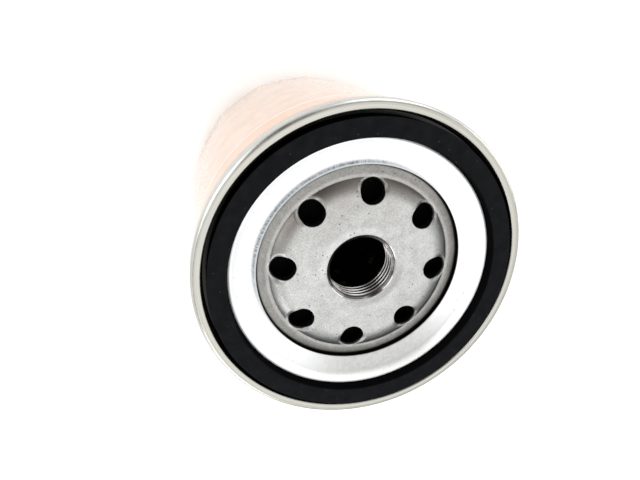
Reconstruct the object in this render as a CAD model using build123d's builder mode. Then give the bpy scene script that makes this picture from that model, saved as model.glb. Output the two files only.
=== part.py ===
from build123d import *
import math
import os

# Spin-on oil filter, standing on its closed dome end with the threaded end up.
# Millimetres.  +Z runs along the can's axis from the dome to the gasket face.
# The origin is the centre of the dome's resting face.

# ---------------------------------------------------------------- driving sizes
TOP = 96.0               # height of the rim's inner top edge above the dome
SEAM_R = 47.71           # outside of the double seam
CAN_R = 46.9             # outside of the can's wall
CAN_T = 0.38             # can sheet
LID_T = 0.60             # seaming lid sheet
CHUCK_R = 44.75          # outer wall of the gasket channel
BEAD_R = 37.95           # inner wall of the gasket channel, middle of the sheet

FLAT_COUNT = 15          # wrench flats pressed round the dome end
FLAT_APOTHEM = CAN_R * math.cos(math.pi / FLAT_COUNT)
FLAT_PHASE = 0.8         # angle of the first flat's middle, degrees
FLAT_TOP = 22.0          # where the flats start to run out into the wall
FLAT_RUNOUT = 26.0
SHOULDER_R = 7.0         # rounding between wall and dome
DISH_Z = 2.6             # depth of the dome's centre dish

LID_OPENING_R = 30.58
GASKET_RI = 38.3
GASKET_RO = 43.6
CHANNEL_Z = TOP - 3.8    # floor under the gasket
GASKET_TOP = TOP + 1.1

PLATE_T = 2.6            # base plate sheet
RING_Z = TOP - 5.7       # ring around the raised centre
CENTRE_Z = TOP - 4.0     # raised centre
STEP_R = 26.6            # foot of the raised centre
THREAD_MINOR_R = 9.19    # M20 x 1.5, minor wall
THREAD_MAJOR_R = 10.02
THREAD_PITCH = 1.5
MOUTH_R = 10.23
MOUTH_DEPTH = 1.2
COLLAR_R = 12.4
COLLAR_BOTTOM = 84.6
INLET_COUNT = 8
INLET_R = 3.5
INLET_PCR = 22.75        # pitch circle radius of the inlet holes
EASE = 0.25              # eased top edges of the inlet holes
PAD_R = 4.1              # coined pad around each inlet
PAD_PCR = 23.2

CAP_R = 40.5             # element end caps
CAP_T = 0.6
CAP_TOP_Z = 81.0
CAP_BOTTOM_Z = 15.2
BOSS_Z = 83.6
TUBE_R = 15.4
TUBE_T = 0.5
PLEATS = 42
PLEAT_RO = 39.4
PLEAT_RI = 16.6
PAPER_T = 0.7
GLUE_T = 1.5

SPRING_R = 20.5          # element support spring, mean radius
SPRING_WIRE = 2.2
SPRING_TURNS = 3.0
VALVE_SPRING_R = 4.6     # bypass spring, mean radius
VALVE_WIRE = 0.9
VALVE_TURNS = 5.5

os.makedirs("parts", exist_ok=True)


def sheet_outline(points, radii, thickness):
    """Closed outline of a bent sheet from its middle line: the corner points and
    the corner radii of both faces, for a closed filleted polyline."""
    half = thickness / 2
    n = len(points)
    normals = []
    for (x0, y0), (x1, y1) in zip(points, points[1:]):
        d = math.hypot(x1 - x0, y1 - y0)
        normals.append((-(y1 - y0) / d, (x1 - x0) / d))
    sides = ([], [])
    rounds = ([], [])
    for i, (x, y) in enumerate(points):
        if i in (0, n - 1):
            nx, ny = normals[0] if i == 0 else normals[-1]
            k, turn, r = 1.0, 0.0, 0.0
        else:
            (ax, ay), (bx, by) = normals[i - 1], normals[i]
            nx, ny = ax + bx, ay + by
            m = math.hypot(nx, ny)
            nx, ny = nx / m, ny / m
            k = 1 / (nx * ax + ny * ay)
            turn = ax * by - ay * bx
            r = radii[i - 1]
        for side, sign in ((0, 1), (1, -1)):
            sides[side].append((x + sign * half * k * nx, y + sign * half * k * ny))
            if r == 0:
                rounds[side].append(0)
            else:
                inward = sign if turn > 0 else -sign
                rounds[side].append(max(r - inward * half, 0.02))
    return (sides[0] + sides[1][::-1], rounds[0] + rounds[1][::-1])


def radial_planes(count, start):
    """Upright planes through the axis, local x pointing outwards."""
    planes = []
    for i in range(count):
        a = math.radians(start + 360 * i / count)
        planes.append(
            Plane(
                origin=(0, 0, 0),
                x_dir=(math.cos(a), math.sin(a), 0),
                z_dir=(math.sin(a), -math.cos(a), 0),
            )
        )
    return planes


# ------------------------------------------------------------------------- can
# Deep-drawn steel can.  The dome end has a resting ring, a shallow centre dish
# and wrench flats; the open end is necked in and turned over as the body hook
# of the double seam.
WALL_TOP = 86.0
HOOK_IN = 45.79        # middle of the can sheet inside the seam
HOOK_OUT = 46.87       # middle of the body hook

with BuildPart() as can_inside:
    with BuildSketch(Plane.XZ):
        with BuildLine():
            FilletPolyline(
                (0, DISH_Z + CAN_T),
                (13.1, DISH_Z + CAN_T),
                (17.6, CAN_T),
                (CAN_R - CAN_T, CAN_T),
                (CAN_R - CAN_T, WALL_TOP + 1),
                (0, WALL_TOP + 1),
                radius=[0, 2.38, 2.0, SHOULDER_R - CAN_T, 0, 0],
                close=True,
            )
        make_face()
    revolve(axis=Axis.Z)
    with BuildSketch(*radial_planes(FLAT_COUNT, FLAT_PHASE)):
        with BuildLine():
            Polyline(
                (FLAT_APOTHEM - CAN_T, -1),
                (FLAT_APOTHEM - CAN_T, FLAT_TOP),
                (CAN_R - CAN_T + 0.3, FLAT_RUNOUT),
                (60, FLAT_RUNOUT),
                (60, -1),
                close=True,
            )
        make_face()
    extrude(amount=14, both=True, mode=Mode.SUBTRACT)

with BuildPart() as can:
    with BuildSketch(Plane.XZ):
        with BuildLine():
            FilletPolyline(
                (0, DISH_Z),
                (13.0, DISH_Z),
                (17.5, 0),
                (CAN_R, 0),
                (CAN_R, WALL_TOP),
                (0, WALL_TOP),
                radius=[0, 2.0, 2.38, SHOULDER_R, 0, 0],
                close=True,
            )
        make_face()
    revolve(axis=Axis.Z)
    with BuildSketch(*radial_planes(FLAT_COUNT, FLAT_PHASE)):
        with BuildLine():
            Polyline(
                (FLAT_APOTHEM, -1),
                (FLAT_APOTHEM, FLAT_TOP),
                (CAN_R + 0.3, FLAT_RUNOUT),
                (60, FLAT_RUNOUT),
                (60, -1),
                close=True,
            )
        make_face()
    extrude(amount=14, both=True, mode=Mode.SUBTRACT)
    add(can_inside.part, mode=Mode.SUBTRACT)
    pts, rads = sheet_outline(
        [
            (CAN_R - CAN_T / 2, WALL_TOP),
            (CAN_R - CAN_T / 2, 88.6),
            (HOOK_IN, 90.7),
            (HOOK_IN, 95.2),
            (HOOK_OUT, 95.2),
            (HOOK_OUT, 92.3),
        ],
        [1.6, 1.6, 0.535, 0.535],
        CAN_T,
    )
    with BuildSketch(Plane.XZ):
        with BuildLine():
            FilletPolyline(*pts, radius=rads, close=True)
        make_face()
    revolve(axis=Axis.Z)
can.part.label = "can"

# ---------------------------------------------------------------- seaming lid
# Thin zinc-plated ring: annulus with a large opening, a raised bead and channel
# that hold the gasket, and the outer half of the double seam folded under the can's body hook.
pts, rads = sheet_outline(
    [
        (LID_OPENING_R, TOP - 4.95),
        (32.5, TOP - 4.65),
        (35.8, TOP - 4.05),
        (BEAD_R, TOP - 1.55),
        (BEAD_R, TOP - 4.1),
        (CHUCK_R + LID_T / 2, TOP - 4.1),
        (CHUCK_R + LID_T / 2, TOP - 0.2),
        (SEAM_R - LID_T / 2, TOP - 0.2),
        (SEAM_R - LID_T / 2, TOP - 4.55),
        (46.33, TOP - 4.55),
        (46.33, TOP - 1.7),
    ],
    [6.0, 2.2, 0.4, 0.6, 0.6, 0.5, 1.1, 0.535, 0.535],
    LID_T,
)
with BuildPart() as seaming_lid:
    with BuildSketch(Plane.XZ):
        with BuildLine():
            FilletPolyline(*pts, radius=rads, close=True)
        make_face()
    revolve(axis=Axis.Z)
seaming_lid.part.label = "seaming_lid"

# -------------------------------------------------------------- seam sealant
# Bead of compound trapped above the cover hook.
with BuildPart() as seam_sealant:
    with BuildSketch(Plane.XZ):
        with Locations((46.33, TOP - 1.42)):
            Rectangle(0.44, 0.44)
    revolve(axis=Axis.Z)
seam_sealant.part.label = "seam_sealant"

# ------------------------------------------------------------- internal thread
# Right-hand M20 x 1.5 groove that winds up the collar's bore.
with BuildPart() as thread_groove:
    with BuildLine() as lead:
        Helix(
            pitch=THREAD_PITCH,
            height=9.0,
            radius=THREAD_MINOR_R,
            center=(0, 0, COLLAR_BOTTOM - 0.8),
        )
    with BuildSketch(Plane.XZ):
        with BuildLine():
            Polyline(
                (THREAD_MINOR_R - 0.30, COLLAR_BOTTOM - 0.8 - 0.62),
                (THREAD_MAJOR_R, COLLAR_BOTTOM - 0.8 - 0.09),
                (THREAD_MAJOR_R, COLLAR_BOTTOM - 0.8 + 0.09),
                (THREAD_MINOR_R - 0.30, COLLAR_BOTTOM - 0.8 + 0.62),
                close=True,
            )
        make_face()
    sweep(path=lead.line, is_frenet=True)

# ----------------------------------------------------------------- inlet punch
# Outline of one inlet hole, with its eased edges at the ring and centre levels.
with BuildPart() as inlet_punch:
    with BuildSketch(Plane.XZ):
        with BuildLine():
            Polyline(
                (0, TOP - 14),
                (INLET_R, TOP - 14),
                (INLET_R, RING_Z - EASE),
                (INLET_R + EASE, RING_Z),
                (INLET_R + EASE, CENTRE_Z - EASE),
                (INLET_R + 2 * EASE, CENTRE_Z),
                (INLET_R + 2 * EASE, TOP),
                (0, TOP),
                close=True,
            )
        make_face()
    revolve(axis=Axis.Z)

# ------------------------------------------------------------------ base plate
# Pressed steel plate: raised centre, ring, rolled trough and a land that
# carries the lid.  The centre is drawn down into a threaded collar.
C36 = math.radians(36.87)
with BuildPart() as base_plate:
    with BuildSketch(Plane.XZ):
        with BuildLine():
            FilletPolyline(
                (THREAD_MINOR_R + 0.7, COLLAR_BOTTOM),
                (THREAD_MINOR_R, COLLAR_BOTTOM + 0.7),
                (THREAD_MINOR_R, CENTRE_Z - MOUTH_DEPTH),
                (MOUTH_R, CENTRE_Z),
                (24.33, CENTRE_Z),
                (STEP_R, RING_Z),
                (28.4, RING_Z),
                (31.0, RING_Z - 1.2),
                (33.6, RING_Z - 1.2),
                (39.6, CHANNEL_Z - LID_T),
                (44.4, CHANNEL_Z - LID_T),
                (44.4, CHANNEL_Z - LID_T - PLATE_T),
                (40.4, CHANNEL_Z - LID_T - PLATE_T),
                (34.8, RING_Z - 1.2 - PLATE_T),
                (29.9, RING_Z - 1.2 - PLATE_T),
                (27.8, RING_Z - PLATE_T),
                (25.73, RING_Z - PLATE_T),
                (23.46, CENTRE_Z - PLATE_T),
                (COLLAR_R, CENTRE_Z - PLATE_T),
                (COLLAR_R, COLLAR_BOTTOM),
                radius=[
                    0, 0, 0, 0.7, 8.3, 0, 1.6, 1.2, 1.5, 1.2,
                    0.4, 0.4, 2.0, 2.0, 1.5, 1.0, 1.0, 5.7, 0.8, 0.4,
                ],
                close=True,
            )
        make_face()
    revolve(axis=Axis.Z)
    # coined pads let the ring level run up to each inlet hole
    with BuildSketch(Plane.XY.offset(RING_Z)):
        with PolarLocations(PAD_PCR, INLET_COUNT):
            Circle(PAD_R)
    extrude(amount=4, mode=Mode.SUBTRACT)
    with PolarLocations(INLET_PCR, INLET_COUNT):
        add(inlet_punch.part, mode=Mode.SUBTRACT)
    add(thread_groove.part, rotation=(0, 0, 200), mode=Mode.SUBTRACT)
base_plate.part.label = "base_plate"

# ---------------------------------------------------------------------- gasket
with BuildPart() as gasket:
    with BuildSketch(Plane.XZ):
        with BuildLine():
            FilletPolyline(
                (GASKET_RI, CHANNEL_Z),
                (GASKET_RO, CHANNEL_Z),
                (GASKET_RO, GASKET_TOP),
                (GASKET_RI, GASKET_TOP),
                radius=[0.3, 0.3, 0.45, 0.45],
                close=True,
            )
        make_face()
    revolve(axis=Axis.Z)
gasket.part.label = "gasket"

# -------------------------------------------------------- anti-drainback valve
# One rubber moulding in three zones: a collar gripped round the threaded
# collar, a thin conical web, and a sealing lip under the plate's trough.
with BuildPart() as drainback_collar:
    with BuildSketch(Plane.XZ):
        with BuildLine():
            FilletPolyline(
                (COLLAR_R + 0.05, BOSS_Z + 0.02),
                (15.6, BOSS_Z + 0.02),
                (15.6, 88.2),
                (14.6, 89.38),
                (13.4, 89.38),
                (COLLAR_R + 0.05, 88.2),
                radius=[0, 0, 0.5, 0.3, 0.3, 0.3],
                close=True,
            )
        make_face()
    revolve(axis=Axis.Z)
drainback_collar.part.label = "drainback_collar"

with BuildPart() as drainback_web:
    with BuildSketch(Plane.XZ):
        with BuildLine():
            Polyline(
                (15.63, 83.9),
                (30.98, 84.8),
                (30.98, 85.8),
                (15.63, 85.0),
                close=True,
            )
        make_face()
    revolve(axis=Axis.Z)
drainback_web.part.label = "drainback_web"

with BuildPart() as drainback_lip:
    with BuildSketch(Plane.XZ):
        with BuildLine():
            FilletPolyline(
                (31.0, 84.8),
                (33.4, 84.95),
                (33.4, 86.47),
                (32.0, 86.47),
                (31.0, 85.8),
                radius=[0, 0.7, 0.4, 0.4, 0],
                close=True,
            )
        make_face()
    revolve(axis=Axis.Z)
drainback_lip.part.label = "drainback_lip"

# -------------------------------------------------------------- filter element
pts, rads = sheet_outline(
    [
        (12.9, BOSS_Z - CAP_T / 2),
        (18.9, BOSS_Z - CAP_T / 2),
        (20.9, CAP_TOP_Z - CAP_T / 2),
        (CAP_R - CAP_T / 2, CAP_TOP_Z - CAP_T / 2),
        (CAP_R - CAP_T / 2, CAP_TOP_Z - 4.5),
    ],
    [1.0, 1.0, 0.8],
    CAP_T,
)
with BuildPart() as upper_end_cap:
    with BuildSketch(Plane.XZ):
        with BuildLine():
            FilletPolyline(*pts, radius=rads, close=True)
        make_face()
    revolve(axis=Axis.Z)
upper_end_cap.part.label = "upper_end_cap"

pts, rads = sheet_outline(
    [
        (9.0, CAP_BOTTOM_Z + CAP_T / 2),
        (CAP_R - CAP_T / 2, CAP_BOTTOM_Z + CAP_T / 2),
        (CAP_R - CAP_T / 2, CAP_BOTTOM_Z + 4.5),
    ],
    [0.8],
    CAP_T,
)
with BuildPart() as lower_end_cap:
    with BuildSketch(Plane.XZ):
        with BuildLine():
            FilletPolyline(*pts, radius=rads, close=True)
        make_face()
    revolve(axis=Axis.Z)
lower_end_cap.part.label = "lower_end_cap"

MEDIA_TOP = CAP_TOP_Z - CAP_T - GLUE_T
MEDIA_BOTTOM = CAP_BOTTOM_Z + CAP_T + GLUE_T

with BuildPart() as upper_adhesive:
    with BuildSketch(Plane.XY.offset(MEDIA_TOP)):
        Circle(CAP_R - CAP_T - 0.05)
        Circle(16.0, mode=Mode.SUBTRACT)
    extrude(amount=GLUE_T)
    chamfer(upper_adhesive.edges().group_by(Axis.Z)[-1].sort_by(SortBy.RADIUS)[-1], 0.6)
upper_adhesive.part.label = "upper_adhesive"

with BuildPart() as lower_adhesive:
    with BuildSketch(Plane.XY.offset(MEDIA_BOTTOM - GLUE_T)):
        Circle(CAP_R - CAP_T - 0.05)
        Circle(16.0, mode=Mode.SUBTRACT)
    extrude(amount=GLUE_T)
    chamfer(lower_adhesive.edges().group_by(Axis.Z)[0].sort_by(SortBy.RADIUS)[-1], 0.6)
lower_adhesive.part.label = "lower_adhesive"


def pleat_loop(r_out, half_out, r_in, half_in):
    """Corner points of one face of the pleated paper, once round."""
    loop = []
    for i in range(PLEATS):
        mid = 2 * math.pi * i / PLEATS
        valley = mid + math.pi / PLEATS
        for a, r, h in (
            (mid, r_out, -half_out),
            (mid, r_out, half_out),
            (valley, r_in, -half_in),
            (valley, r_in, half_in),
        ):
            loop.append((r * math.cos(a + h / r), r * math.sin(a + h / r)))
    return loop


with BuildPart() as pleated_media:
    with BuildSketch(Plane.XY.offset(MEDIA_BOTTOM)):
        with BuildLine():
            Polyline(*pleat_loop(PLEAT_RO, 0.95, PLEAT_RI + 0.8, 0.40), close=True)
        make_face()
        with BuildLine():
            Polyline(
                *pleat_loop(PLEAT_RO - PAPER_T, 0.25, PLEAT_RI, 1.08), close=True
            )
        make_face(mode=Mode.SUBTRACT)
    extrude(amount=MEDIA_TOP - MEDIA_BOTTOM)
pleated_media.part.label = "pleated_media"

# folded strip that grips the pleat where the paper's two ends meet
with BuildPart() as media_seam_clip:
    with BuildSketch(Plane.XY.offset(MEDIA_BOTTOM + 0.1)):
        with BuildLine():
            Polyline(
                (34.0, -1.30), (39.75, -1.30), (39.75, 1.30), (34.0, 1.30),
                (34.0, 1.00), (39.45, 1.00), (39.45, -1.00), (34.0, -1.00),
                close=True,
            )
        make_face()
    extrude(amount=MEDIA_TOP - MEDIA_BOTTOM - 0.2)
media_seam_clip.part.label = "media_seam_clip"

with BuildPart() as centre_tube:
    with BuildSketch(Plane.XY.offset(CAP_BOTTOM_Z + CAP_T)):
        Circle(TUBE_R)
        Circle(TUBE_R - TUBE_T, mode=Mode.SUBTRACT)
    extrude(amount=BOSS_Z - CAP_T - CAP_BOTTOM_Z - CAP_T)
    with BuildSketch(*radial_planes(2, 10)[:1], *radial_planes(4, 10)[1:2]):
        with Locations(*[(0, z) for z in (22, 31, 40, 49, 58, 67, 76)]):
            Circle(2.1)
    extrude(amount=20, both=True, mode=Mode.SUBTRACT)
    with BuildSketch(*radial_planes(2, 55)[:1], *radial_planes(4, 55)[1:2]):
        with Locations(*[(0, z) for z in (26.5, 35.5, 44.5, 53.5, 62.5, 71.5)]):
            Circle(2.1)
    extrude(amount=20, both=True, mode=Mode.SUBTRACT)
centre_tube.part.label = "centre_tube"

# ---------------------------------------------------------------- bypass valve
SEAT_Z = 19.2
with BuildPart() as bypass_seat:
    with BuildSketch(Plane.XZ):
        with BuildLine():
            Polyline(
                (6.0, 12.6), (11.2, 12.6), (11.2, CAP_BOTTOM_Z), (8.95, CAP_BOTTOM_Z),
                (8.95, CAP_BOTTOM_Z + CAP_T), (10.4, CAP_BOTTOM_Z + CAP_T),
                (10.4, 16.5), (9.0, 17.0), (8.6, 18.4), (7.3, 18.4),
                (6.9, SEAT_Z), (6.0, SEAT_Z),
                close=True,
            )
        make_face()
    revolve(axis=Axis.Z)
bypass_seat.part.label = "bypass_seat"

with BuildPart() as bypass_seal:
    with BuildSketch(Plane.XY.offset(SEAT_Z + 0.01)):
        Circle(8.2)
        Circle(3.05, mode=Mode.SUBTRACT)
    extrude(amount=1.19)
bypass_seal.part.label = "bypass_seal"

STEM_TOP = 39.0
with BuildPart() as bypass_poppet:
    with BuildSketch(Plane.XZ):
        with BuildLine():
            Polyline(
                (0, 18.0), (4.0, 18.0), (4.4, 18.4), (4.4, SEAT_Z), (3.0, SEAT_Z),
                (3.0, SEAT_Z + 1.2), (8.4, SEAT_Z + 1.2), (8.4, SEAT_Z + 2.2),
                (1.5, SEAT_Z + 2.2), (1.5, STEM_TOP - 0.5), (1.0, STEM_TOP),
                (0, STEM_TOP),
                close=True,
            )
        make_face()
    revolve(axis=Axis.Z)
bypass_poppet.part.label = "bypass_poppet"

CAGE_TOP = 36.6
pts, rads = sheet_outline(
    [
        (1.57, CAGE_TOP - CAP_T / 2),
        (11.3, CAGE_TOP - CAP_T / 2),
        (11.3, CAP_BOTTOM_Z + CAP_T + CAP_T / 2),
        (13.4, CAP_BOTTOM_Z + CAP_T + CAP_T / 2),
    ],
    [1.5, 0.8],
    CAP_T,
)
with BuildPart() as bypass_cage:
    with BuildSketch(Plane.XZ):
        with BuildLine():
            FilletPolyline(*pts, radius=rads, close=True)
        make_face()
    revolve(axis=Axis.Z)
    with BuildSketch(*radial_planes(4, 45)[:2]):
        with Locations((0, 26.0)):
            RectangleRounded(9.0, 12.0, 2.0)
    extrude(amount=20, both=True, mode=Mode.SUBTRACT)
bypass_cage.part.label = "bypass_cage"

valve_low = SEAT_Z + 2.2 + VALVE_WIRE / 2 + 0.05
valve_high = CAGE_TOP - CAP_T - VALVE_WIRE / 2 - 0.05
with BuildPart() as bypass_spring:
    with BuildLine() as coil:
        Helix(
            pitch=(valve_high - valve_low) / VALVE_TURNS,
            height=valve_high - valve_low,
            radius=VALVE_SPRING_R,
            center=(0, 0, valve_low),
        )
    with BuildSketch(Plane(origin=coil.line @ 0, z_dir=coil.line % 0)):
        Circle(VALVE_WIRE / 2)
    sweep(is_frenet=True)
bypass_spring.part.label = "bypass_spring"

# --------------------------------------------------------- element support spring
coil_low = CAN_T + SPRING_WIRE / 2 + 0.05
coil_high = CAP_BOTTOM_Z - SPRING_WIRE / 2 - 0.05
with BuildPart() as support_spring:
    with BuildLine() as coil:
        Helix(
            pitch=(coil_high - coil_low) / SPRING_TURNS,
            height=coil_high - coil_low,
            radius=SPRING_R,
            center=(0, 0, coil_low),
        )
    with BuildSketch(Plane(origin=coil.line @ 0, z_dir=coil.line % 0)):
        Circle(SPRING_WIRE / 2)
    sweep(is_frenet=True)
support_spring.part.label = "support_spring"

# ----------------------------------------------------------------------- export
export_step(can.part, "parts/can.step")
export_step(seaming_lid.part, "parts/seaming_lid.step")
export_step(seam_sealant.part, "parts/seam_sealant.step")
export_step(base_plate.part, "parts/base_plate.step")
export_step(gasket.part, "parts/gasket.step")
export_step(drainback_collar.part, "parts/drainback_collar.step")
export_step(drainback_web.part, "parts/drainback_web.step")
export_step(drainback_lip.part, "parts/drainback_lip.step")
export_step(upper_end_cap.part, "parts/upper_end_cap.step")
export_step(lower_end_cap.part, "parts/lower_end_cap.step")
export_step(upper_adhesive.part, "parts/upper_adhesive.step")
export_step(lower_adhesive.part, "parts/lower_adhesive.step")
export_step(pleated_media.part, "parts/pleated_media.step")
export_step(media_seam_clip.part, "parts/media_seam_clip.step")
export_step(centre_tube.part, "parts/centre_tube.step")
export_step(bypass_seat.part, "parts/bypass_seat.step")
export_step(bypass_seal.part, "parts/bypass_seal.step")
export_step(bypass_poppet.part, "parts/bypass_poppet.step")
export_step(bypass_cage.part, "parts/bypass_cage.step")
export_step(bypass_spring.part, "parts/bypass_spring.step")
export_step(support_spring.part, "parts/support_spring.step")
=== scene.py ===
import math

import bmesh
import bpy
import numpy as np
from mathutils import Matrix, Vector, geometry


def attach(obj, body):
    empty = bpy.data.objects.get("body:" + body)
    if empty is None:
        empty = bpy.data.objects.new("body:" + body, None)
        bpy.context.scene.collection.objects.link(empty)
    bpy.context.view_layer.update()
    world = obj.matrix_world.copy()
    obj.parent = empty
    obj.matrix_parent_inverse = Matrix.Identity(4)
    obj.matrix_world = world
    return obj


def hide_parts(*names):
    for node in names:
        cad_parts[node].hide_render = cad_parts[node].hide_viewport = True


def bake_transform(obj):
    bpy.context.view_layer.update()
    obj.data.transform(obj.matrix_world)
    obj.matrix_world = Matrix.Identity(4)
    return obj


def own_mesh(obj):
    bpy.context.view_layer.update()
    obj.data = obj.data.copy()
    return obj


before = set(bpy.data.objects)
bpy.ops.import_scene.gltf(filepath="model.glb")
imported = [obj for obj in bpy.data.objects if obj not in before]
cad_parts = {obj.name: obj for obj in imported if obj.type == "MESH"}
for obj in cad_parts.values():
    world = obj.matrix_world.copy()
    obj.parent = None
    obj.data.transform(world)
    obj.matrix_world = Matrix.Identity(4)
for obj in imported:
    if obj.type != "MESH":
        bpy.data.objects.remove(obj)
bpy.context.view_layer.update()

# ------------------------------------------------------------------ sizes, in mm
TOP = 96.0
CAN_R, CAN_T = 46.9, 0.38
FLATS, FLAT_PHASE = 15, 0.8
FLAT_APOTHEM = CAN_R * math.cos(math.pi / FLATS)
RING_Z, CENTRE_Z = TOP - 5.7, TOP - 4.0
INLETS, INLET_R, INLET_PCR = 8, 3.5, 22.75
PAD_R, PAD_PCR = 4.1, 23.2
THREAD_MINOR, THREAD_MAJOR, PITCH = 9.19, 10.02, 1.5
COLLAR_R, COLLAR_BOTTOM = 12.4, 84.6
PLATE_T = 2.6
LID_T = 0.6

rng = np.random.default_rng(7)


def smooth(a, b, x):
    t = np.clip((x - a) / (b - a), 0, 1)
    return t * t * (3 - 2 * t)


def soft_min(a, b, k):
    h = np.clip(0.5 + 0.5 * (b - a) / k, 0, 1)
    return b * (1 - h) + a * h - k * h * (1 - h)


def ripple(theta, orders, size, seed):
    """A smooth closed wave round the axis, the same every run."""
    r = np.random.default_rng(seed)
    total = np.zeros_like(theta)
    for n in orders:
        total += r.normal() * np.cos(n * theta + r.uniform(0, 2 * math.pi)) / math.sqrt(len(orders))
    return size * total


# -------------------------------------------------------------- building meshes
def path(points, radii, step=11.0, run=3.0):
    """A bent line through the corner points, each inner corner rounded by its radius."""
    pts = [np.array(p, float) for p in points]
    out = [pts[0]]

    def line_to(q):
        p = out[-1]
        d = np.linalg.norm(q - p)
        for i in range(1, max(1, int(math.ceil(d / run))) + 1):
            out.append(p + (q - p) * i / max(1, int(math.ceil(d / run))))

    for i in range(1, len(pts) - 1):
        a, b, c = pts[i - 1], pts[i], pts[i + 1]
        u, v = (a - b) / np.linalg.norm(a - b), (c - b) / np.linalg.norm(c - b)
        half = math.acos(np.clip(u @ v, -1, 1)) / 2
        r = radii[i - 1]
        if r <= 0 or half > math.pi / 2 - 1e-4:
            line_to(b)
            continue
        cut = r / math.tan(half)
        centre = b + (u + v) / np.linalg.norm(u + v) * r / math.sin(half)
        s, e = b + u * cut, b + v * cut
        line_to(s)
        a0, a1 = math.atan2(*(s - centre)[::-1]), math.atan2(*(e - centre)[::-1])
        turn = (a1 - a0 + math.pi) % (2 * math.pi) - math.pi
        n = max(2, int(math.ceil(abs(math.degrees(turn)) / step)))
        for k in range(1, n + 1):
            t = a0 + turn * k / n
            out.append(centre + r * np.array([math.cos(t), math.sin(t)]))
    line_to(pts[-1])
    keep = [out[0]]
    for p in out[1:]:
        if np.linalg.norm(p - keep[-1]) > 1e-4:
            keep.append(p)
    return np.array(keep)


def both_sides(mid, thickness):
    """The two faces of a bent sheet with that middle line."""
    d = np.gradient(mid, axis=0)
    d /= np.linalg.norm(d, axis=1)[:, None]
    n = np.stack([-d[:, 1], d[:, 0]], 1)
    return mid + n * thickness / 2, mid - n * thickness / 2


def lathe_grid(profile, columns, start=0.0):
    """x, y, z of a turned surface: rows along the profile, columns round the axis."""
    theta = math.radians(start) + np.arange(columns) * 2 * math.pi / columns
    r = np.repeat(profile[:, 0][:, None], columns, 1)
    z = np.repeat(profile[:, 1][:, None], columns, 1)
    return theta, r, z


def grid_faces(rows, columns, first=0, closed=False):
    """Quads of a grid that joins up round the axis, and along the profile if closed."""
    faces = []
    last = rows if closed else rows - 1
    for i in range(last):
        a = first + i * columns
        b = first + ((i + 1) % rows) * columns
        for j in range(columns):
            k = (j + 1) % columns
            faces.append((a + j, a + k, b + k, b + j))
    return faces


def new_mesh(name, verts, faces, material, body, replaces=()):
    mesh = bpy.data.meshes.new(name)
    mesh.from_pydata((np.asarray(verts, float) * 0.001).tolist(), [], faces)
    bm = bmesh.new()
    bm.from_mesh(mesh)
    bmesh.ops.recalc_face_normals(bm, faces=bm.faces)
    bm.to_mesh(mesh)
    bm.free()
    mesh.polygons.foreach_set("use_smooth", [True] * len(mesh.polygons))
    mesh.update()
    # the faces point outwards if the volume that they hold is positive
    mesh.calc_loop_triangles()
    n = len(mesh.loop_triangles)
    tri = np.zeros(n * 3, np.int32)
    mesh.loop_triangles.foreach_get("vertices", tri)
    co = np.zeros(len(mesh.vertices) * 3)
    mesh.vertices.foreach_get("co", co)
    t = co.reshape(-1, 3)[tri.reshape(-1, 3)]
    if np.einsum("ij,ij->i", t[:, 0], np.cross(t[:, 1], t[:, 2])).sum() < 0:
        mesh.flip_normals()
    mesh.materials.append(material)
    obj = bpy.data.objects.new(name, mesh)
    bpy.context.scene.collection.objects.link(obj)
    if body:
        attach(obj, body)
    if replaces:
        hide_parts(*replaces)
    return obj


def xyz(theta, r, z):
    return np.stack([r * np.cos(theta), r * np.sin(theta), z + 0 * r], -1).reshape(-1, 3)


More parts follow.
